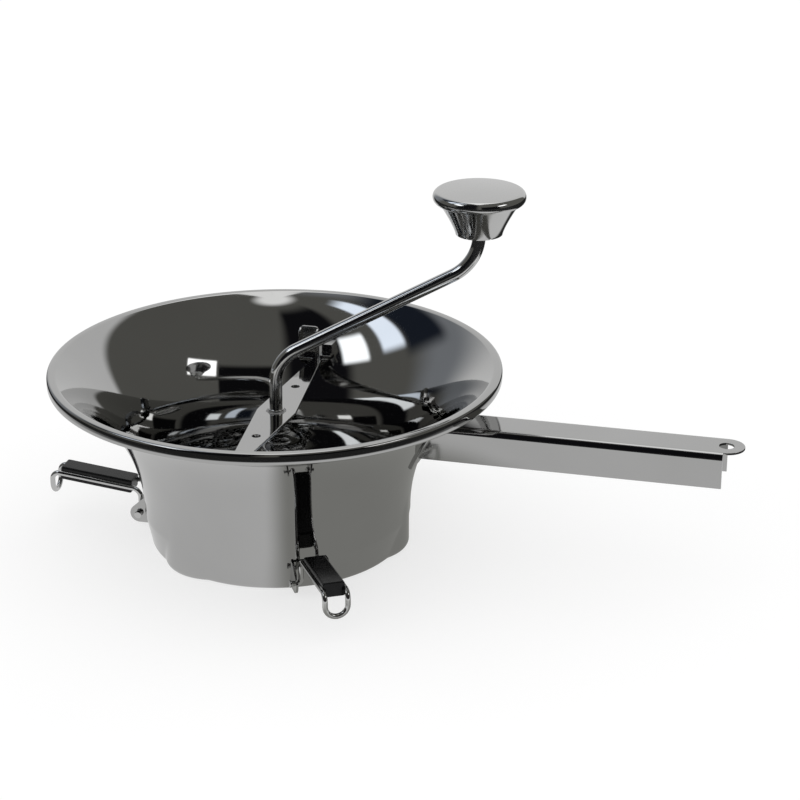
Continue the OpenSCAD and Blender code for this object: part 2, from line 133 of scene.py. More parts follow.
def noise(tree, scale, detail, stretch=(1, 1, 1)):
    """A noise on Object coordinates, in metres, stretched along the axes."""
    where = tree.nodes.new("ShaderNodeTexCoord")
    place = tree.nodes.new("ShaderNodeMapping")
    place.inputs["Scale"].default_value = stretch
    tex = tree.nodes.new("ShaderNodeTexNoise")
    tex.inputs["Scale"].default_value = scale
    tex.inputs["Detail"].default_value = detail
    tree.links.new(where.outputs["Object"], place.inputs["Vector"])
    tree.links.new(place.outputs["Vector"], tex.inputs["Vector"])
    return tex.outputs["Fac"]


# The middle band of a noise, which is spread over the whole range that it drives
NOISE_LOW = 0.3
NOISE_HIGH = 0.7


def between(tree, value, low, high):
    """A noise laid on the range from low to high."""
    node = tree.nodes.new("ShaderNodeMapRange")
    node.inputs["From Min"].default_value = NOISE_LOW
    node.inputs["From Max"].default_value = NOISE_HIGH
    node.inputs["To Min"].default_value = low
    node.inputs["To Max"].default_value = high
    tree.links.new(value, node.inputs["Value"])
    return node.outputs["Result"]


def two_colours(tree, value, dark, light):
    """A noise laid between two colours."""
    ramp = tree.nodes.new("ShaderNodeValToRGB")
    stops = ((NOISE_LOW, dark), (NOISE_HIGH, light))
    for element, (place, colour) in zip(ramp.color_ramp.elements, stops):
        element.position = place
        element.color = (*colour, 1)
    tree.links.new(value, ramp.inputs["Fac"])
    return ramp.outputs["Color"]


def bump(tree, shader, height, distance, under=None):
    """Relief of a real depth in metres, laid over any relief already there."""
    node = tree.nodes.new("ShaderNodeBump")
    node.inputs["Distance"].default_value = distance
    node.inputs["Strength"].default_value = 1.0
    tree.links.new(height, node.inputs["Height"])
    if under is not None:
        tree.links.new(under, node.inputs["Normal"])
    tree.links.new(node.outputs["Normal"], shader.inputs["Normal"])
    return node.outputs["Normal"]


# Scales of the noises in the metals and in the plastics
TONE, POLISH, WAVES, HAIRLINES = 18, 60, 14, 900
PLASTIC_TONE, PLASTIC_GLOSS, PLASTIC_GRAIN = 120, 300, 2500


def metal(name, dark, light, rough, wave=0.0, scratch=0.0, stretch=(1, 1, 1)):
    """Polished or drawn metal: uneven polish, faint waves in the sheet and fine hairlines."""
    m, tree, shader = new_material(name)
    shader.inputs["Metallic"].default_value = 1.0
    tree.links.new(two_colours(tree, noise(tree, TONE, 2), dark, light), shader.inputs["Base Color"])
    tree.links.new(between(tree, noise(tree, POLISH, 5), *rough), shader.inputs["Roughness"])
    normal = None
    if wave:
        normal = bump(tree, shader, noise(tree, WAVES, 1), wave)
    if scratch:
        bump(tree, shader, noise(tree, HAIRLINES, 4, stretch), scratch, under=normal)
    return m


def plastic(name, dark, light, rough, grain, gloss=0.5):
    """Moulded plastic: slightly uneven colour and gloss over a fine grain."""
    m, tree, shader = new_material(name)
    tone = two_colours(tree, noise(tree, PLASTIC_TONE, 4), dark, light)
    tree.links.new(tone, shader.inputs["Base Color"])
    tree.links.new(between(tree, noise(tree, PLASTIC_GLOSS, 4), *rough), shader.inputs["Roughness"])
    shader.inputs["Specular IOR Level"].default_value = gloss
    bump(tree, shader, noise(tree, PLASTIC_GRAIN, 2), grain)
    return m


STEEL_DARK = (0.48, 0.48, 0.475)
STEEL_LIGHT = (0.51, 0.51, 0.505)
bowl_steel = metal("bowl_steel", STEEL_DARK, STEEL_LIGHT, (0.03, 0.055), wave=0.00012)
plate_steel = metal("plate_steel", STEEL_DARK, STEEL_LIGHT, (0.05, 0.09), wave=0.00006,
                    scratch=0.000002, stretch=(0.05, 1, 1))
wire_steel = metal("wire_steel", (0.59, 0.59, 0.585), (0.63, 0.63, 0.625), (0.07, 0.12), wave=0.00002)
disc_steel = metal("disc_steel", (0.40, 0.40, 0.40), (0.45, 0.45, 0.445), (0.10, 0.2), wave=0.00005)
drawn_steel = metal("drawn_steel", (0.36, 0.36, 0.36), (0.44, 0.44, 0.43), (0.16, 0.28), scratch=0.000004)
grip_black = plastic("grip_black", (0.004, 0.004, 0.0045), (0.007, 0.007, 0.0075), (0.2, 0.3), 0.00001,
                     gloss=0.25)
bush_grey = plastic("bush_grey", (0.20, 0.20, 0.20), (0.26, 0.26, 0.26), (0.35, 0.5), 0.00003)
sleeve_white = plastic("sleeve_white", (0.72, 0.72, 0.70), (0.80, 0.80, 0.78), (0.35, 0.5), 0.00003)


# ---- mesh tools; lengths go in as millimetres ----

# Points nearer than MERGE are one point, and a radius below AXIS lies on the axis
MERGE = 0.0005
AXIS = 1e-6


def piece(name, bm, material, body, replaced, sharp=35):
    """Turns a bmesh in millimetres into a finished piece in metres that rides on a body."""
    bmesh.ops.remove_doubles(bm, verts=bm.verts, dist=MERGE)
    bmesh.ops.recalc_face_normals(bm, faces=bm.faces)
    bmesh.ops.scale(bm, vec=(MM, MM, MM), verts=bm.verts)
    mesh = bpy.data.meshes.new(name)
    bm.to_mesh(mesh)
    bm.free()
    return finish_piece(name, mesh, material, body, replaced, sharp)


def finish_piece(name, mesh, material, body, replaced, sharp):
    """Smooths a mesh except over sharp edges, keeps its flats flat, and gives it its body."""
    mesh.materials.clear()
    mesh.materials.append(material)
    mesh.polygons.foreach_set("use_smooth", [True] * len(mesh.polygons))
    mesh.set_sharp_from_angle(angle=math.radians(sharp))
    o = bpy.data.objects.new(name, mesh)
    bpy.context.scene.collection.objects.link(o)
    flats = o.modifiers.new("flats", "WEIGHTED_NORMAL")
    flats.keep_sharp = True
    flats.weight = 80
    make_plain(o)
    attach(o, body)
    for node in replaced:
        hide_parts(node)
    return o


def make_plain(o):
    """Applies every modifier of o into its mesh."""
    depsgraph = bpy.context.evaluated_depsgraph_get()
    mesh = bpy.data.meshes.new_from_object(o.evaluated_get(depsgraph),
                                           preserve_all_data_layers=True, depsgraph=depsgraph)
    o.modifiers.clear()
    o.data = mesh


def arc(cx, cy, r, start, end, steps):
    """Points of an arc, angles in degrees."""
    turns = [math.radians(start + (end - start) * i / steps) for i in range(steps + 1)]
    return [(cx + r * math.cos(a), cy + r * math.sin(a)) for a in turns]


def rounded(points, r, steps=4):
    """A closed outline with each corner rounded to radius r or to the radius given as a third number."""
    out = []
    count = len(points)
    for i, p in enumerate(points):
        radius = p[2] if len(p) > 2 else r
        a = Vector(points[i - 1][:2]) - Vector(p[:2])
        b = Vector(points[(i + 1) % count][:2]) - Vector(p[:2])
        if radius <= 0 or a.angle(b) > 3.14:
            out.append(tuple(p[:2]))
            continue
        half = a.angle(b) / 2
        reach = min(radius / math.tan(half), a.length * 0.49, b.length * 0.49)
        radius = reach * math.tan(half)
        middle = Vector(p[:2]) + (a.normalized() + b.normalized()).normalized() * radius / math.sin(half)
        first = Vector(p[:2]) + a.normalized() * reach - middle
        last = Vector(p[:2]) + b.normalized() * reach - middle
        turn = first.angle_signed(last)
        for k in range(steps + 1):
            v = first.copy()
            v.rotate(Matrix.Rotation(-turn * k / steps, 2))
            out.append(tuple(middle + v))
    return out


def lathe(outline, turns, centre=(0.0, 0.0), radius_shift=None):
    """Revolves a closed (radius, height) outline about a vertical axis."""
    bm = bmesh.new()
    rows = []
    for i in range(turns):
        a = 2 * math.pi * i / turns
        row = []
        for r, z in outline:
            if radius_shift:
                r = r + radius_shift(a, r, z)
            row.append(bm.verts.new((centre[0] + r * math.cos(a), centre[1] + r * math.sin(a), z)))
        rows.append(row)
    count = len(outline)
    for i in range(turns):
        here, there = rows[i], rows[(i + 1) % turns]
        for k in range(count):
            n = (k + 1) % count
            quad = [here[k], there[k], there[n], here[n]]
            if outline[k][0] < AXIS:
                quad.pop(1)
            if outline[n][0] < AXIS:
                quad.pop(-1 if len(quad) == 3 else 2)
            if len(quad) > 2 and len(set(quad)) == len(quad):
                bm.faces.new(quad)
    return bm


def ring_outline(inner, outer, low, high, soft):
    """The outline of a ring or tube with softened edges."""
    return rounded([(inner, low), (outer, low), (outer, high), (inner, high)], soft, 3)


def skin(bm, rows):
    """Joins rows of vertices into a tube and closes its two ends."""
    count = len(rows[0])
    for here, there in zip(rows, rows[1:]):
        for k in range(count):
            n = (k + 1) % count
            bm.faces.new([here[k], here[n], there[n], there[k]])
    bm.faces.new(list(reversed(rows[0])))
    bm.faces.new(rows[-1])
    return bm


def sweep(path, radii, sides):
    """A round wire along a path of points, with a radius at each."""
    bm = bmesh.new()
    points = [Vector(p) for p in path]
    tangents = []
    for i in range(len(points)):
        a = points[max(i - 1, 0)]
        b = points[min(i + 1, len(points) - 1)]
        tangents.append((b - a).normalized())
    up = Vector((0, 0, 1)) if abs(tangents[0].z) < 0.9 else Vector((1, 0, 0))
    side = tangents[0].cross(up).normalized()
    rows = []
    for i, (p, radius) in enumerate(zip(points, radii)):
        if i:
            side = side - tangents[i] * side.dot(tangents[i])
            side.normalize()
        other = tangents[i].cross(side)
        rows.append([bm.verts.new(p + (side * math.cos(math.tau * k / sides)
                                       + other * math.sin(math.tau * k / sides)) * radius)
                     for k in range(sides)])
    return skin(bm, rows)


def wire_path(steps, start, bend_steps):
    """Points along straights and bends: each step is (straight, bend angle, bend radius, roll) in
    millimetres and degrees, laid from the start matrix along its own z."""
    m = start.copy()
    points = [m.translation.copy()]
    for run, turn, bend, roll in steps:
        m = m @ Matrix.Translation((0, 0, run))
        if run > 0.01:
            points.append(m.translation.copy())
        m = m @ Matrix.Rotation(math.radians(roll), 4, "Z")
        if turn:
            angle = math.radians(turn)
            for k in range(1, bend_steps + 1):
                a = angle * k / bend_steps
                points.append(m @ Vector((bend * (1 - math.cos(a)), 0, bend * math.sin(a))))
            m = m @ Matrix.Translation((bend * (1 - math.cos(angle)), 0, bend * math.sin(angle)))
            m = m @ Matrix.Rotation(angle, 4, "Y")
    return points, m


def plate(outlines, thickness, soft, place):
    """A flat plate: the first outline is its edge and the others its holes. Its edges are softened,
    and it lies between z = 0 and z = thickness of place."""
    curve = bpy.data.curves.new("outline", "CURVE")
    curve.dimensions = "2D"
    curve.fill_mode = "BOTH"
    for outline in outlines:
        spline = curve.splines.new("POLY")
        spline.points.add(len(outline) - 1)
        for point, (x, y) in zip(spline.points, outline):
            point.co = (x, y, 0, 1)
        spline.use_cyclic_u = True
    curve.extrude = thickness / 2 - soft
    curve.bevel_depth = soft
    curve.bevel_resolution = 2
    curve.offset = -soft
    o = bpy.data.objects.new("outline", curve)
    bpy.context.scene.collection.objects.link(o)
    depsgraph = bpy.context.evaluated_depsgraph_get()
    mesh = bpy.data.meshes.new_from_object(o.evaluated_get(depsgraph))
    bm = bmesh.new()
    bm.from_mesh(mesh)
    bpy.data.objects.remove(o)
    bpy.data.curves.remove(curve)
    bpy.data.meshes.remove(mesh)
    bmesh.ops.translate(bm, vec=(0, 0, thickness / 2), verts=bm.verts)
    bmesh.ops.transform(bm, matrix=place, verts=bm.verts)
    return bm


def joined(*parts):
    """One bmesh holding several."""
    out = bmesh.new()
    for part in parts:
        mesh = bpy.data.meshes.new("part")
        bmesh.ops.remove_doubles(part, verts=part.verts, dist=MERGE)
        bmesh.ops.recalc_face_normals(part, faces=part.faces)
        part.to_mesh(mesh)
        part.free()
        out.from_mesh(mesh)
        bpy.data.meshes.remove(mesh)
    return out


def softened(name, node, width):
    """A copy of a CAD node of steel plate, with its edges softened."""
    bm = bmesh.new()
    bm.from_mesh(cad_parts[node].data)
    bmesh.ops.remove_doubles(bm, verts=bm.verts, dist=0.002 * MM)
    bmesh.ops.dissolve_limit(bm, angle_limit=math.radians(1.5), verts=bm.verts, edges=bm.edges)
    mesh = bpy.data.meshes.new(name)
    bm.to_mesh(mesh)
    bm.free()
    o = bpy.data.objects.new(name, mesh)
    bpy.context.scene.collection.objects.link(o)
    bevel = o.modifiers.new("edges", "BEVEL")
    bevel.width = width * MM
    bevel.segments = 2
    bevel.limit_method = "ANGLE"
    bevel.angle_limit = math.radians(35)
    make_plain(o)
    mesh = o.data
    bpy.data.objects.remove(o)
    return finish_piece(name, mesh, plate_steel, "mill", [node], 32)


# ---- bowl ----

LOBE_IN = LEDGE_IN + 1.5
LOBE_TOP = 33.0
LOBE_FADE = 3.0
LOBE_SOFT = 0.09
ROLL_POWER = 4
ROLL_TURN = 300


def lobe_shift(angle, r, z):
    """How far a lobe pushes the drum's sheet out at this angle, radius and height."""
    if z > LOBE_TOP or r < LOBE_IN:
        return 0.0
    off = (angle + math.pi / 3) % (2 * math.pi / 3) - math.pi / 3
    reach = LOBE_REACH * math.sin(off)
    if abs(off) > 0.5 or abs(reach) > LOBE_R:
        return 0.0
    lobe = LOBE_REACH * math.cos(off) + math.sqrt(LOBE_R ** 2 - reach ** 2)
    if z > DRUM_H:
        plain = flare_at(z)
    else:
        plain = BASE_R + (DRUM_R - BASE_R) * max(z - CORNER_R, 0) / (DRUM_H - CORNER_R)
    past = lobe - plain
    soft = 0.5 * (past + math.sqrt(past * past + LOBE_SOFT))
    fade = min(max((LOBE_TOP - z) / LOBE_FADE, 0), 1)
    if z < CORNER_R:
        fade = min(max((r - LOBE_IN) / 2.0, 0), 1)
    return soft * fade


def bowl_side(inward):
    """The wall from the drum's ledge up to the rim's roll, moved in by a distance."""
    corner_x = BASE_R - CORNER_R
    points = [(LEDGE_IN, inward), (LEDGE_IN + 1.2, inward), (corner_x - 0.8, inward)]
    points += arc(corner_x, CORNER_R, CORNER_R - inward, -90, 0, 12)
    low = Vector(points[-1])
    high = Vector((DRUM_R - inward, DRUM_H))
    points += [tuple(low.lerp(high, k / 10)) for k in range(1, 10)]
    points += [(FLARE_X - (FLARE_R + inward) * math.cos(a), DRUM_H + (FLARE_R + inward) * math.sin(a))
               for a in (FLARE_END * k / 56 for k in range(57))]
    return points


def rim_roll(r):
    """The rim's roll, pressed flatter on its top and outer side."""
    start = 180 - math.degrees(FLARE_END)
    points = []
    for x, z in arc(0, 0, r, start, start - ROLL_TURN, 72)[1:]:
        squash = 1.0
        if x > 0:
            squash = (abs(x / r) ** ROLL_POWER + abs(z / r) ** ROLL_POWER) ** (-1 / ROLL_POWER)
        points.append((BEAD_X + x * squash, BEAD_Z + z * squash))
    return points


bowl_outline = (bowl_side(0) + rim_roll(BEAD_R - SHEET)
                + rim_roll(BEAD_R)[::-1] + bowl_side(SHEET)[::-1])
piece("bowl_shell", lathe(bowl_outline, 288, radius_shift=lobe_shift), bowl_steel, "mill", ["bowl"],
      sharp=40)

# ---- bridge bar ----

BAR_HALF = flare_at(BAR_Z - BAR_T, SHEET) - 1.6
HEAD = 6.0
TAB_SHIFT = 6.0
TAB_HALF = 5.5
TAB_T = 1.2
TAB_RISE = 17
LOW_TAB_RISE = 10
BAR_HOLE_R = 2.25
BAR_HOLE_AT = 35.6
SHOULDER = BAR_HALF - HEAD
bar_edge = [(-2.5, SHOULDER, 1), (-10.7, 0, 14), (-2.5, -SHOULDER, 1), (-5.5, -SHOULDER, 1),
            (-5.5, -BAR_HALF, 1), (11.5, -BAR_HALF, 0.6), (11.5, -SHOULDER, 1), (2.5, -SHOULDER, 1),
            (10.7, 0, 14), (2.5, SHOULDER, 1), (5.5, SHOULDER, 1), (5.5, BAR_HALF, 1),
            (-11.5, BAR_HALF, 0.6), (-11.5, SHOULDER, 1)]
bar_holes = [arc(0, y, BAR_HOLE_R, 0, 360, 32)[:-1] for y in (-BAR_HOLE_AT, BAR_HOLE_AT)]
bar_holes.append(arc(0, 0, BAR_BUSH_R, 0, 360, 48)[:-1])
bar_plate = plate([rounded(bar_edge, 1)] + bar_holes, BAR_T, 0.3,
                  Matrix.Translation((0, 0, BAR_Z - BAR_T)))


def finger_tab(turn, rise):
    """An upturned channel at one end of the bar: a web against the wall and two short cheeks."""
    top = rise + BAR_T
    web_outline = rounded([(-TAB_HALF, 0, 0), (TAB_HALF, 0, 0), (TAB_HALF, top, 2.2),
                           (-TAB_HALF, top, 2.2)], 2, 6)
    upright = Matrix.Translation((-TAB_SHIFT, BAR_HALF, -BAR_T)) @ Matrix.Rotation(math.pi / 2, 4, "X")
    web = plate([web_outline], TAB_T, 0.25, upright)
    sideways = Matrix(((0, 0, -1, 0), (-1, 0, 0, 0), (0, 1, 0, 0), (0, 0, 0, 1)))
    cheeks = []
    for x in (-TAB_SHIFT - TAB_HALF, -TAB_SHIFT + TAB_HALF - TAB_T):
        outline = rounded([(0, -0.2, 0), (4.2, -0.2, 0), (4.2, rise - 2.5, 2.2), (0, rise - 0.5, 1)], 1, 4)
        cheeks.append(plate([outline], TAB_T, 0.25,
                            Matrix.Translation((x + TAB_T, BAR_HALF, 0)) @ sideways))
    tab = joined(web, *cheeks)
    place = Matrix.Rotation(turn, 4, "Z") @ Matrix.Translation((0, 0, BAR_Z))
    bmesh.ops.transform(tab, matrix=place, verts=tab.verts)
    return tab


piece("bridge_bar_plate",
      joined(bar_plate, finger_tab(0, TAB_RISE), finger_tab(math.pi, LOW_TAB_RISE)),
      plate_steel, "mill", ["bridge_bar"])
softened("bar_hooks", "bar_lugs", 0.25)

# ---- crank ----

ARM_RUN = (CRANK_REACH - (LOW_BEND + HIGH_BEND) * (1 - math.cos(ARM_TILT))) / math.sin(ARM_TILT)
UPRIGHT_Z = ARM_Z + (LOW_BEND + HIGH_BEND) * math.sin(ARM_TILT) + ARM_RUN * math.cos(ARM_TILT)
KNOB_Z = UPRIGHT_Z + 1.3
KNOB_TOP = KNOB_Z + 24.5
SHOULDER_Z = KNOB_Z + 2
SPIGOT_RUN = 15.6
RETAINER_Z = SHOULDER_Z + SPIGOT_RUN
KNOB_AT = (CRANK_REACH * math.cos(CRANK_TURN), CRANK_REACH * math.sin(CRANK_TURN))

crank_start = Matrix.Rotation(CRANK_TURN, 4, "Z") @ Matrix.Translation((0, 0, HUB_Z))
crank_steps = [(ARM_Z - HUB_Z, 64, LOW_BEND, 0), (ARM_RUN, 64, HIGH_BEND, 180),
               (SHOULDER_Z - UPRIGHT_Z, 0, 0, 0)]
crank_path, crank_end = wire_path(crank_steps, crank_start, 26)
low_end = [(0, 0, 0.6), (0, 0, 0.9), (0, 0, HUB_Z - 0.3), (0, 0, HUB_Z - 0.02)]
low_radii = [SPIGOT_R - 0.3, SPIGOT_R, SPIGOT_R, SPIGOT_R]
top = crank_end.translation
high_end = [(top.x, top.y, top.z + h) for h in (0.02, 0.3, SPIGOT_RUN, SPIGOT_RUN + 0.3)]
high_radii = [SPIGOT_R, SPIGOT_R, SPIGOT_R, SPIGOT_R - 0.4]
crank_radii = low_radii + [ROD_R] * len(crank_path) + high_radii
piece("crank_shaft", sweep(low_end + crank_path + high_end, crank_radii, 48), wire_steel, "crank",
      ["crank_rod"], sharp=50)
piece("crank_collar", lathe(ring_outline(ROD_R, ROD_R + 0.7, BAR_Z + 0.1, BAR_Z + 1.4, 0.3), 64),
      wire_steel, "crank", ["crank_ring"])

# ---- blade ----

BLADE_R = BASE_R - SHEET - 4.5
BLADE_Z = 2.6
BLADE_RISE = 21.0
BLADE_T = 1.2
CLIMB = 1.4
EASE = 2.2
SWEEP = math.radians(150)
HUB_R = 6.5
PIN_Z = HUB_Z + 14.25
PIN_R = 1.25
PIN_HALF = 7.0


def wing(turn):
    """A ramp of sheet that climbs from its trailing edge to a curled leading edge."""
    bm = bmesh.new()
    long_steps, cross_steps = 64, 10
    rows = []
    for i in range(long_steps + 1):
        u = i / long_steps
        a = SWEEP * u + turn
        low = BLADE_Z + BLADE_RISE * u ** CLIMB
        near = max(low, HUB_Z + 1)
        row = []
        for side in (0, 1):
            for k in range(cross_steps + 1):
                v = k / cross_steps if side == 0 else 1 - k / cross_steps
                r = HUB_R - 0.2 + (BLADE_R - HUB_R + 0.2) * v
                ease = min(v * EASE, 1)
                ease = ease * ease * (3 - 2 * ease)
                z = near + (low - near) * ease + side * BLADE_T
                row.append(bm.verts.new((r * math.cos(a), r * math.sin(a), z)))
        rows.append(row)
    return skin(bm, rows)


piece("blade_sheet", joined(wing(CRANK_TURN), wing(CRANK_TURN + math.pi)), plate_steel, "crank",
      ["blade_wings"])
piece("blade_tube", lathe(ring_outline(ROD_R, HUB_R, HUB_Z, HUB_TOP, 0.5), 96), wire_steel, "crank",
      ["blade_hub"])
pin_path = [(x, 0, PIN_Z) for x in (-PIN_HALF, 0.3 - PIN_HALF, PIN_HALF - 0.3, PIN_HALF)]
piece("blade_cross_pin", sweep(pin_path, [PIN_R - 0.35, PIN_R, PIN_R, PIN_R - 0.35], 32), drawn_steel,
      "crank", ["blade_pin"])

# ---- bushes, washer and retainer ----

FLANGE_TOP = COIL_TOP + 1.4
BUSH_TOP = COIL_TOP + 3.2
RUNNING_FIT = 0.05
bush_profile = rounded([(ROD_R + RUNNING_FIT, COIL_TOP), (SEAT_R, COIL_TOP, 0.4),
                        (SEAT_R, FLANGE_TOP, 0.2), (BAR_BUSH_R, FLANGE_TOP, 0),
                        (BAR_BUSH_R, BUSH_TOP, 0.3), (ROD_R + RUNNING_FIT, BUSH_TOP, 0.3)], 0.3, 3)
piece("bar_bushing", lathe(bush_profile, 96), bush_grey, "mill", ["bar_bush"])
piece("disc_bushing", lathe(ring_outline(SPIGOT_R + RUNNING_FIT, 6, 1.1, 7.1, 0.5), 96), bush_grey,
      "mill", ["disc_bush"])
piece("spring_washer", lathe(ring_outline(ROD_R + RUNNING_FIT, SEAT_R, HUB_TOP, SEAT_Z, 0.2), 96),
      drawn_steel, "lift", ["thrust_washer"])

# ---- knob ----

NECK_R = 12.3
CAP_R = 24.3
CURL = 3.4
DOME = 1.1
CURL_END = -124
KNOB_T = 0.8
BEARING_H = 15.5
CAP_Z = KNOB_TOP - DOME - CURL
BELL_OUT = CAP_R - CURL - NECK_R
BELL_H = CAP_Z - CURL + 0.2 - KNOB_Z
BELL_BOW = 1.25


def bell(d, steps=40):
    """The knob's side sweeps out from the neck, here moved in by d."""
    points = []
    for k in range(steps + 1):
        t = k / steps
        lean = BELL_OUT / BELL_H * BELL_BOW * t ** (BELL_BOW - 1)
        slant = math.hypot(1, lean)
        points.append((NECK_R + BELL_OUT * t ** BELL_BOW - d / slant,
                       KNOB_Z + BELL_H * t + d * lean / slant))
    return points


piece("knob_bell", lathe(bell(0) + bell(KNOB_T)[::-1], 128, KNOB_AT), wire_steel, "knob",
      ["knob_shell"], sharp=50)
dome_r = ((CAP_R - CURL) ** 2 + DOME ** 2) / (2 * DOME)
dome_half = math.degrees(math.asin((CAP_R - CURL) / dome_r))
cap_top = arc(0, KNOB_TOP - dome_r, dome_r, 90, 90 - dome_half, 24)[:-1]
cap_roll = arc(CAP_R - CURL, CAP_Z, CURL, 90 - dome_half, CURL_END, 28)
cap_under = arc(CAP_R - CURL, CAP_Z, CURL - KNOB_T, CURL_END, 90, 16)
cap_inside = arc(0, KNOB_TOP - dome_r, dome_r - KNOB_T, 90 - dome_half * 0.9, 90, 12)
piece("knob_top", lathe(cap_top + cap_roll + cap_under + cap_inside, 128, KNOB_AT), wire_steel, "knob",
      ["knob_cap"], sharp=50)
bearing = ring_outline(SPIGOT_R + RUNNING_FIT, NECK_R - KNOB_T + 0.2, SHOULDER_Z,
                       SHOULDER_Z + BEARING_H, 0.4)
piece("knob_bearing", lathe(bearing, 96, KNOB_AT), sleeve_white, "knob", ["knob_sleeve"])
retainer = ring_outline(SPIGOT_R, 7, RETAINER_Z, RETAINER_Z + 1, 0.2)
piece("knob_push_washer", lathe(retainer, 64, KNOB_AT), drawn_steel, "crank", ["knob_retainer"])

# ---- handle ----

def handle_section():
    """The channel's closed outline, looking along the handle, with y across and z up."""
    fold_y, fold_z, low = HANDLE_HALF - FOLD_R, HANDLE_Z - FOLD_R, HANDLE_Z - HANDLE_DEEP
    sides = [fold_z - (HANDLE_DEEP - FOLD_R) * k / 4 for k in (1, 2, 3)]
    outer = [(-HANDLE_HALF, low)] + [(-HANDLE_HALF, z) for z in reversed(sides)]
    outer += arc(-fold_y, fold_z, FOLD_R, 180, 90, 12) + arc(fold_y, fold_z, FOLD_R, 90, 0, 12)
    outer += [(HANDLE_HALF, z) for z in sides] + [(HANDLE_HALF, low)]
    inner_r = FOLD_R - HANDLE_T
    inner = [(HANDLE_HALF - HANDLE_T, low)] + arc(fold_y, fold_z, inner_r, 0, 90, 12)
    inner += arc(-fold_y, fold_z, inner_r, 90, 180, 12) + [(HANDLE_T - HANDLE_HALF, low)]
    return outer + inner


def bored(bm, x, y, r, z):
    """Cuts an upright round hole through a closed mesh at this height."""
    drill = lathe([(0, z - 5), (r, z - 5), (r, z + 5), (0, z + 5)], 48, (x, y))
    parts = []
    for name, source in (("blank", bm), ("drill", drill)):
        mesh = bpy.data.meshes.new(name)
        source.to_mesh(mesh)
        source.free()
        o = bpy.data.objects.new(name, mesh)
        bpy.context.scene.collection.objects.link(o)
        parts.append(o)
    blank, drill = parts
    cut = blank.modifiers.new("cut", "BOOLEAN")
    cut.operation = "DIFFERENCE"
    cut.object = drill
    cut.solver = "EXACT"
    bpy.context.view_layer.update()
    seen = blank.evaluated_get(bpy.context.evaluated_depsgraph_get())
    result = bmesh.new()
    result.from_mesh(seen.data)
    for o in parts:
        mesh = o.data
        bpy.data.objects.remove(o)
        bpy.data.meshes.remove(mesh)
    return result


def channel_bar():
    """The handle's channel, its near end cut to the curve of the flare."""
    bm = bmesh.new()
    section = handle_section()
    rows = [[bm.verts.new((math.sqrt((flare_at(z) - 0.2) ** 2 - y * y), y, z)) for y, z in section]]
    for x in (112.0, 150.0, 190.0, 225.0, HANDLE_END - FOLD_R - 1, HANDLE_END):
        rows.append([bm.verts.new((x, y, z)) for y, z in section])
    count = len(section)
    for here, there in zip(rows, rows[1:]):
        for k in range(count):
            n = (k + 1) % count
            bm.faces.new([here[k], there[k], there[n], here[n]])
    bm.faces.new(rows[-1])
    bm.faces.new(list(reversed(rows[0])))
    return bm


tongue_edge = ([(HANDLE_END - FOLD_R, TONGUE_R), (HANDLE_END - FOLD_R, -TONGUE_R)]
               + arc(HANG_X, 0, TONGUE_R, -90, 90, 48))
# The tongue lies this much lower, so that its faces don't coincide with the channel's
TONGUE_DROP = 0.04
tongue = plate([tongue_edge, arc(HANG_X, 0, HANG_R, 0, 360, 40)[:-1]], HANDLE_T, 0.25,
               Matrix.Translation((0, 0, HANDLE_Z - HANDLE_T - TONGUE_DROP)))
piece("handle_channel", joined(bored(channel_bar(), HANG_X, 0, HANG_R, HANDLE_Z), tongue), plate_steel,
      "mill", ["handle"])
softened("handle_back_plate", "handle_saddle", 0.3)

# ---- feet ----

HOOK = 2.5
KNEE = 5.0
TOE = 4.0
TOE_DROP = 2.5
LEG = 13.0
REACH = 51.0
RISE = 6.0
EAR_OUT = FOOT_HALF + HOOK + 0.1 + 1.2
STUB_END = EAR_OUT + 2.6
HEAD_H = 1.2
HEAD_R = 2.0
KNEE_TURN = 90 - RISE
TOE_TURN = 90 + RISE
LEG_RUN = LEG - HOOK - KNEE * math.sin(math.radians(KNEE_TURN))
ARM_LEN = ((REACH - KNEE * (1 - math.cos(math.radians(KNEE_TURN))) - TOE * math.cos(math.radians(RISE))
            - TOE * math.sin(math.radians(RISE))) / math.cos(math.radians(RISE)))
STUB_RUN = STUB_END - HEAD_H / 2 - FOOT_HALF - HOOK
GRIP_L = 41.0
GRIP_H = 7.6


def grip_block():
    """The black block between the arms: grooved sides that the wires lie in, and softened edges."""
    half_w = FOOT_HALF - 0.1
    groove = WIRE_R + 0.02
    soft = 1.1
    mouth = math.degrees(math.acos((half_w - FOOT_HALF) / groove))
    right = arc(half_w - soft, soft - GRIP_H / 2, soft, -90, 0, 6)
    right += arc(FOOT_HALF, 0, groove, 360 - mouth, mouth, 16)
    right += arc(half_w - soft, GRIP_H / 2 - soft, soft, 0, 90, 6)
    section = right + [(-y, z) for y, z in reversed(right)]
    bm = bmesh.new()
    rows = []
    stops = [(0, 0.55), (0.15, 0.25), (0.45, 0.08), (0.9, 0)]
    stops += [(GRIP_L - x, inset) for x, inset in reversed(stops)]
    for x, inset in stops:
        rows.append([bm.verts.new((1 + x, y * (1 - inset / half_w), z * (1 - 2 * inset / GRIP_H)))
                     for y, z in section])
    return skin(bm, rows)


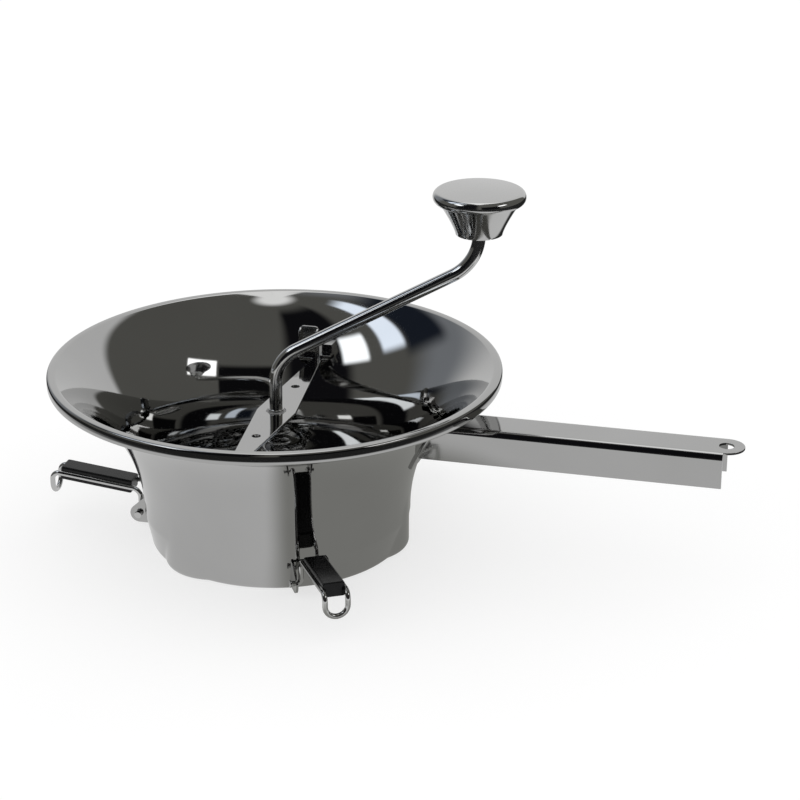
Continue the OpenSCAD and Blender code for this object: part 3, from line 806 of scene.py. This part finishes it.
for foot, turn in FOOT_TURNS.items():
    at_foot = Matrix.Rotation(math.radians(turn), 4, "Z") @ Matrix.Translation((PIVOT_R, 0, PIVOT_Z))
    start = (at_foot @ Matrix.Translation((0, STUB_END - HEAD_H / 2, 0))
             @ Matrix.Rotation(math.pi / 2, 4, "X"))
    steps = [(STUB_RUN, 90, HOOK, 90), (LEG_RUN, KNEE_TURN, KNEE, -90), (ARM_LEN, TOE_TURN, TOE, 0),
             (TOE_DROP, 180, FOOT_HALF, -90), (TOE_DROP, TOE_TURN, TOE, 90), (ARM_LEN, KNEE_TURN, KNEE, 0),
             (LEG_RUN, 90, HOOK, 90), (STUB_RUN, 0, 0, 0)]
    path, _ = wire_path(steps, start, 14)
    parts = [sweep(path, [WIRE_R] * len(path), 24)]
    stops = [(STUB_END - HEAD_H, HEAD_R - 0.3), (STUB_END - HEAD_H + 0.3, HEAD_R),
             (STUB_END - 0.3, HEAD_R), (STUB_END, HEAD_R - 0.5)]
    for side in (-1, 1):
        head = [at_foot @ Vector((0, side * y, 0)) for y, _ in stops]
        parts.append(sweep(head, [r for _, r in stops], 32))
    piece(f"foot_loop_{foot}", joined(*parts), wire_steel, f"foot_{foot}", [f"foot_wire_{foot}"],
          sharp=50)
    grip = grip_block()
    knee_x = KNEE * (1 - math.cos(math.radians(KNEE_TURN)))
    knee_z = HOOK + LEG_RUN + KNEE * math.sin(math.radians(KNEE_TURN))
    place = (at_foot @ Matrix.Translation((knee_x, 0, knee_z))
             @ Matrix.Rotation(math.radians(-RISE), 4, "Y"))
    bmesh.ops.transform(grip, matrix=place, verts=grip.verts)
    piece(f"foot_pad_{foot}", grip, grip_black, f"foot_{foot}", [f"foot_grip_{foot}"],
          sharp=40)
    softened(f"foot_bracket_{foot}", f"foot_clevis_{foot}", 0.25)


# ---- geometry nodes: the sieve disc and the spring ----

class Tree:
    """A geometry node tree with named inputs, ending in Realize Instances and Set Material."""

    def __init__(self, name, sizes):
        self.tree = bpy.data.node_groups.new(name, "GeometryNodeTree")
        self.sizes = sizes
        for label, (kind, _) in sizes.items():
            self.tree.interface.new_socket(label, in_out="INPUT", socket_type=kind)
        self.tree.interface.new_socket("Geometry", in_out="OUTPUT", socket_type="NodeSocketGeometry")
        self.inputs = self.add("NodeGroupInput")

    def add(self, kind, settings=None, **sockets):
        node = self.tree.nodes.new(kind)
        for key, value in (settings or {}).items():
            setattr(node, key, value)
        for key, value in sockets.items():
            feed(self.tree, node.inputs[key.replace("_", " ")], value)
        return node

    def math(self, kind, *values):
        return math_node(self.tree, kind, *values)

    def size(self, label):
        return self.inputs.outputs[label]

    def end(self, geometry, material):
        realize = self.add("GeometryNodeRealizeInstances", Geometry=geometry)
        paint = self.add("GeometryNodeSetMaterial", Geometry=realize.outputs[0])
        paint.inputs["Material"].default_value = material
        out = self.add("NodeGroupOutput")
        self.tree.links.new(paint.outputs[0], out.inputs[0])

    def run(self, name):
        """Makes the tree's mesh as an object with no modifier left."""
        o = bpy.data.objects.new(name, bpy.data.meshes.new(name))
        bpy.context.scene.collection.objects.link(o)
        modifier = o.modifiers.new("nodes", "NODES")
        modifier.node_group = self.tree
        for item in self.tree.interface.items_tree:
            if item.in_out == "INPUT":
                modifier[item.identifier] = self.sizes[item.name][1]
        make_plain(o)
        mesh = o.data
        bpy.data.objects.remove(o)
        return mesh


FLOAT, WHOLE = "NodeSocketFloat", "NodeSocketInt"


def sieve_mesh():
    """A disc with three ears, a bore and holes in six-sided rings."""
    t = Tree("sieve", {"Hole radius": (FLOAT, 1.5 * MM), "Ring spacing": (FLOAT, 7.5 * MM),
                       "Holes": (WHOLE, 162), "Disc radius": (FLOAT, 64.0 * MM),
                       "Bore radius": (FLOAT, 6.0 * MM), "Thickness": (FLOAT, 0.9 * MM),
                       "Height": (FLOAT, 1.1 * MM),
                       "Ear width": (FLOAT, 16.0 * MM), "Ear reach": (FLOAT, 66.0 * MM)})
    index = t.add("GeometryNodeInputIndex").outputs[0]
    place = t.math("ADD", index, 6.0)
    root = t.math("SQRT", t.math("MULTIPLY_ADD", place, 12.0, 9.0))
    ring = t.math("FLOOR", t.math("ADD", t.math("DIVIDE", t.math("ADD", root, 3.0), 6.0), 0.0001))
    first = t.math("MULTIPLY", t.math("MULTIPLY", ring, t.math("SUBTRACT", ring, 1.0)), 3.0)
    angle = t.math("MULTIPLY", t.math("DIVIDE", t.math("SUBTRACT", place, first), ring), math.pi / 3)
    reach = t.math("MULTIPLY", ring, t.size("Ring spacing"))
    where = t.add("ShaderNodeCombineXYZ", X=t.math("MULTIPLY", reach, t.math("COSINE", angle)),
                  Y=t.math("MULTIPLY", reach, t.math("SINE", angle)))
    points = t.add("GeometryNodePoints", Count=t.size("Holes"), Position=where.outputs[0])
    middle = t.math("MULTIPLY_ADD", t.size("Thickness"), 0.5, t.size("Height"))
    lift = t.add("ShaderNodeCombineXYZ", Z=middle).outputs[0]
    cutter = t.add("GeometryNodeMeshCylinder", Vertices=20, Radius=t.size("Hole radius"), Depth=4 * MM)
    cutters = t.add("GeometryNodeInstanceOnPoints", Points=points.outputs[0], Instance=cutter.outputs[0])
    holes = t.add("GeometryNodeTransform", Geometry=cutters.outputs[0], Translation=lift)
    bore = t.add("GeometryNodeMeshCylinder", Vertices=64, Radius=t.size("Bore radius"), Depth=4 * MM)
    bore = t.add("GeometryNodeTransform", Geometry=bore.outputs[0], Translation=lift)
    cut = t.add("GeometryNodeJoinGeometry")
    for source in (holes, bore):
        t.tree.links.new(source.outputs[0], cut.inputs[0])
    cut = t.add("GeometryNodeRealizeInstances", Geometry=cut.outputs[0])
    disc = t.add("GeometryNodeMeshCylinder", Vertices=160, Radius=t.size("Disc radius"),
                 Depth=t.size("Thickness"))
    disc = t.add("GeometryNodeTransform", Geometry=disc.outputs[0], Translation=lift)
    ear_size = t.add("ShaderNodeCombineXYZ", X=t.size("Ear reach"), Y=t.size("Ear width"),
                     Z=t.size("Thickness"))
    ear = t.add("GeometryNodeMeshCube", Size=ear_size.outputs[0])
    ear_middle = t.add("ShaderNodeCombineXYZ", X=t.math("MULTIPLY", t.size("Ear reach"), 0.5),
                       Z=middle)
    ear = t.add("GeometryNodeTransform", Geometry=ear.outputs[0], Translation=ear_middle.outputs[0])
    blank = t.add("GeometryNodeMeshBoolean", {"operation": "UNION", "solver": "EXACT"})
    t.tree.links.new(disc.outputs[0], blank.inputs["Mesh 2"])
    for turn in (0, 1, 2):
        arm = t.add("GeometryNodeTransform", Geometry=ear.outputs[0],
                    Rotation=(0, 0, 2 * math.pi / 3 * turn))
        t.tree.links.new(arm.outputs[0], blank.inputs["Mesh 2"])
    sieve = t.add("GeometryNodeMeshBoolean", {"operation": "DIFFERENCE", "solver": "EXACT"})
    t.tree.links.new(blank.outputs[0], sieve.inputs["Mesh 1"])
    t.tree.links.new(cut.outputs[0], sieve.inputs["Mesh 2"])
    t.end(sieve.outputs[0], disc_steel)
    return t.run("sieve_plate")


def spring_mesh():
    """A coil with a closed turn at each end."""
    t = Tree("spring", {"Turns": (FLOAT, 8.0), "Coil radius": (FLOAT, 6.9 * MM),
                        "Wire radius": (FLOAT, 0.7 * MM), "Bottom": (FLOAT, SEAT_Z * MM),
                        "Top": (FLOAT, COIL_TOP * MM)})
    line = t.add("GeometryNodeCurveSpiral", Resolution=48, Rotations=t.size("Turns"),
                 Start_Radius=t.size("Coil radius"), End_Radius=t.size("Coil radius"), Height=0.0)
    along = t.add("GeometryNodeSplineParameter").outputs["Factor"]
    turn = t.math("MULTIPLY", along, t.size("Turns"))
    wire = t.math("MULTIPLY", t.size("Wire radius"), 2.0)
    last = t.math("MAXIMUM", t.math("ADD", t.math("SUBTRACT", turn, t.size("Turns")), 1.0), 0.0)
    closed = t.math("MULTIPLY", wire, t.math("ADD", t.math("MINIMUM", turn, 1.0), last))
    free = t.math("SUBTRACT", t.math("SUBTRACT", t.size("Top"), t.size("Bottom")),
                  t.math("MULTIPLY", wire, 3.0))
    share = t.math("DIVIDE", t.math("SUBTRACT", turn, 1.0),
                   t.math("SUBTRACT", t.size("Turns"), 2.0))
    share = t.math("MINIMUM", t.math("MAXIMUM", share, 0.0), 1.0)
    height = t.math("ADD", t.math("ADD", t.size("Bottom"), t.size("Wire radius")),
                    t.math("MULTIPLY_ADD", free, share, closed))
    place = t.add("ShaderNodeSeparateXYZ", Vector=t.add("GeometryNodeInputPosition").outputs[0])
    moved = t.add("ShaderNodeCombineXYZ", X=place.outputs[0], Y=place.outputs[1], Z=height)
    raised = t.add("GeometryNodeSetPosition", Geometry=line.outputs[0], Position=moved.outputs[0])
    ring = t.add("GeometryNodeCurvePrimitiveCircle", Resolution=16,
                 Radius=t.size("Wire radius"))
    tube = t.add("GeometryNodeCurveToMesh", Curve=raised.outputs[0])
    t.tree.links.new(ring.outputs[0], tube.inputs["Profile Curve"])
    tube.inputs["Fill Caps"].default_value = True
    t.end(tube.outputs[0], drawn_steel)
    return t.run("spring_coil")


finish_piece("sieve_plate", sieve_mesh(), disc_steel, "mill", ["sieve_disc"], 30)
spring = finish_piece("spring_coil", spring_mesh(), drawn_steel, "lift", ["spring"], 60)
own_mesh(spring)

# ---- floor, light and camera ----

def stage_mesh(name, points, faces, material):
    """A surface that belongs to the stage and not to the mill."""
    mesh = bpy.data.meshes.new(name)
    mesh.from_pydata(points, [], faces)
    mesh.materials.append(material)
    o = bpy.data.objects.new(name, mesh)
    bpy.context.scene.collection.objects.link(o)
    return o


floor_paper, floor_tree, floor_shader = new_material("floor_paper")
floor_shader.inputs["Roughness"].default_value = 0.9
floor_shader.inputs["Specular IOR Level"].default_value = 0.0
floor_shader.inputs["Emission Color"].default_value = (1, 1, 1, 1)
floor_shader.inputs["Emission Strength"].default_value = 0.68
paper_tone = two_colours(floor_tree, noise(floor_tree, 3, 2), (0.33, 0.33, 0.33), (0.35, 0.35, 0.35))
floor_tree.links.new(paper_tone, floor_shader.inputs["Base Color"])
FLOOR_HALF = 14.0
FLOOR_Z = -0.0002
MIRROR_Z = -0.0001
ROOM_GLOW = 0.72
floor_corners = [(x * FLOOR_HALF, y * FLOOR_HALF, FLOOR_Z) for x, y in ((-1, -1), (1, -1), (1, 1), (-1, 1))]
stage_mesh("floor", floor_corners, [(0, 1, 2, 3)], floor_paper)

world = bpy.data.worlds.new("studio")
bpy.context.scene.world = world
world.use_nodes = True
world.node_tree.nodes["Background"].inputs["Color"].default_value = (1, 1, 1, 1)
world.node_tree.nodes["Background"].inputs["Strength"].default_value = 1.0

# Azimuths here are measured from the side that the camera stands on
CAMERA_AT = Vector((0.361, -1.150, 0.569))
CAMERA_TO = Vector((0.0638, 0.0163, 0.0786))
camera_way = math.atan2(CAMERA_AT.y - CAMERA_TO.y, CAMERA_AT.x - CAMERA_TO.x)


def within(tree, value, low, high, soft):
    """One between low and high, falling to nothing over a soft edge."""
    off = math_node(tree, "ABSOLUTE", math_node(tree, "SUBTRACT", value, (low + high) / 2))
    ramp = tree.nodes.new("ShaderNodeMapRange")
    ramp.interpolation_type = "SMOOTHSTEP"
    for socket, number in ((1, (high - low) / 2 + soft), (2, (high - low) / 2 - soft), (3, 0), (4, 1)):
        ramp.inputs[socket].default_value = number
    tree.links.new(off, ramp.inputs[0])
    return ramp.outputs[0]


def reflector(name, points, faces, high_is_radius, base, patches):
    """A surface seen only in reflections, with soft patches placed by azimuth and by elevation or radius."""
    material, tree, shader = new_material(name)
    shader.inputs["Base Color"].default_value = (0, 0, 0, 1)
    shader.inputs["Specular IOR Level"].default_value = 0.0
    shader.inputs["Emission Strength"].default_value = ROOM_GLOW
    place = tree.nodes.new("ShaderNodeTexCoord").outputs["Object"]
    turned = tree.nodes.new("ShaderNodeVectorRotate")
    turned.rotation_type = "Z_AXIS"
    turned.inputs["Angle"].default_value = -camera_way
    tree.links.new(place, turned.inputs["Vector"])
    parts = tree.nodes.new("ShaderNodeSeparateXYZ")
    tree.links.new(turned.outputs[0], parts.inputs[0])
    x, y, z = parts.outputs
    flat = math_node(tree, "SQRT", math_node(tree, "ADD", math_node(tree, "MULTIPLY", x, x),
                                             math_node(tree, "MULTIPLY", y, y)))
    around = math_node(tree, "MULTIPLY", math_node(tree, "ARCTAN2", y, x), 180 / math.pi)
    up = flat
    if not high_is_radius:
        up = math_node(tree, "MULTIPLY", math_node(tree, "ARCTAN2", z, flat), 180 / math.pi)
    colour = None
    for azimuths, heights, softness, shade in patches:
        share = math_node(tree, "MULTIPLY", within(tree, around, *azimuths, softness[0]),
                          within(tree, up, *heights, softness[1]))
        mix = tree.nodes.new("ShaderNodeMix")
        mix.data_type = "RGBA"
        tree.links.new(share, mix.inputs[0])
        if colour is None:
            mix.inputs[6].default_value = (*base, 1)
        else:
            tree.links.new(colour, mix.inputs[6])
        mix.inputs[7].default_value = (*shade, 1)
        colour = mix.outputs[2]
    tree.links.new(colour, shader.inputs["Emission Color"])
    o = stage_mesh(name, points, faces, material)
    o.visible_camera = False
    o.visible_diffuse = False
    o.visible_shadow = False
    o.visible_transmission = False


def ring_grid(rows, steps=48):
    """Points and faces of a surface turned about the axis, from its (radius, height) rows."""
    points = [(r * math.cos(math.tau * i / steps), r * math.sin(math.tau * i / steps), z)
              for r, z in rows for i in range(steps)]
    faces = [(k * steps + i, k * steps + n, (k + 1) * steps + n, (k + 1) * steps + i)
             for k in range(len(rows) - 1) for i in range(steps) for n in [(i + 1) % steps]]
    return points, faces


DOME_R = 8.0
dome_angles = [math.radians(e) for e in range(0, 90, 6)]
dome_rows = [(DOME_R * math.cos(a), DOME_R * math.sin(a)) for a in dome_angles]
dome_rows.append((0.01, DOME_R))
reflector("studio_room", *ring_grid(dome_rows), False, (1.0, 1.0, 1.0), [
    ((-180, 180), (58, 96), (1, 6), (1.75, 1.75, 1.75)),
    ((-136, 138), (-9, 85.5), (3, 2), (0.17, 0.168, 0.155)),
    ((-150, -118), (-9, 80), (12, 6), (0.35, 0.37, 0.4)),
    ((-60, -6), (-9, 80), (6, 4), (0.01, 0.01, 0.012)),
    ((4, 50), (-9, 39), (1, 2), (0.008, 0.008, 0.009)),
    ((-134, -107), (36, 68), (4, 5), (0.02, 0.026, 0.04)),
    ((-106, -88), (41, 74), (2, 3), (2.0, 2.2, 2.5)),
    ((-76, -54), (38, 55), (2, 2), (2.9, 3.0, 3.1)),
    ((52, 76), (32, 42), (0.8, 0.8), (3.4, 3.4, 3.4)),
])
floor_rows = [(r, MIRROR_Z) for r in (0.05, 0.4, 1.2, DOME_R)]
# The floor as the metal sees it in reflections. Its first patch is a painted shadow: a grey stretch of floor
# close to the mill on its right, as the camera sees it, standing in for the shade that the mill casts on the
# table. Its second patch darkens the floor farther out.
reflector("reflected_floor_painted_shadow", *ring_grid(floor_rows), True, (0.95, 0.95, 0.95), [
    ((2, 158), (-1, 0.168), (8, 0.02), (0.42, 0.42, 0.40)),
    ((-150, 150), (0.31, 9), (10, 0.02), (0.03, 0.03, 0.03)),
])

camera = bpy.data.objects.new("camera", bpy.data.cameras.new("camera"))
bpy.context.scene.collection.objects.link(camera)
camera.location = CAMERA_AT
camera.rotation_euler = (CAMERA_TO - CAMERA_AT).to_track_quat("-Z", "Y").to_euler()
camera.data.sensor_width = 36
camera.data.lens = 110.1
bpy.context.scene.camera = camera
bpy.context.scene.view_settings.view_transform = "Standard"
